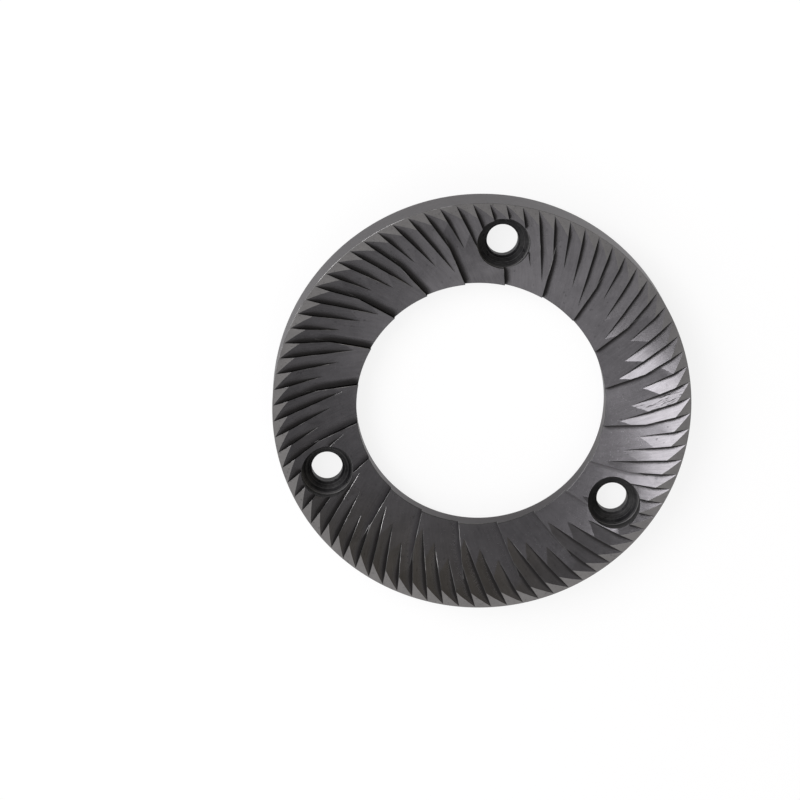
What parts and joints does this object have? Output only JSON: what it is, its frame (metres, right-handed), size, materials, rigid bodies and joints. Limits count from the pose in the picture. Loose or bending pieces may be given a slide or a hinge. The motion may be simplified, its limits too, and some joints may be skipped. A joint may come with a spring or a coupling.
{
  "type": "coffee grinder burr",
  "caption": "Flat steel ring burr with saw-like cutting teeth ground into one face, a wide bore and recessed screw holes; grinds coffee beans against a facing burr.",
  "frame": {"origin": "on the axis, in the plane of the back seat", "axes": "+Z along the axis, out of the toothed face; +Y through one screw hole"},
  "size_m": [0.064, 0.064, 0.0078],
  "materials": {
    "burr_steel": "dark hardened tool steel, satin, with ground ramps and lands"
  },
  "bodies": {
    "root": {"burr": "burr_steel"}
  },
  "joints": []
}
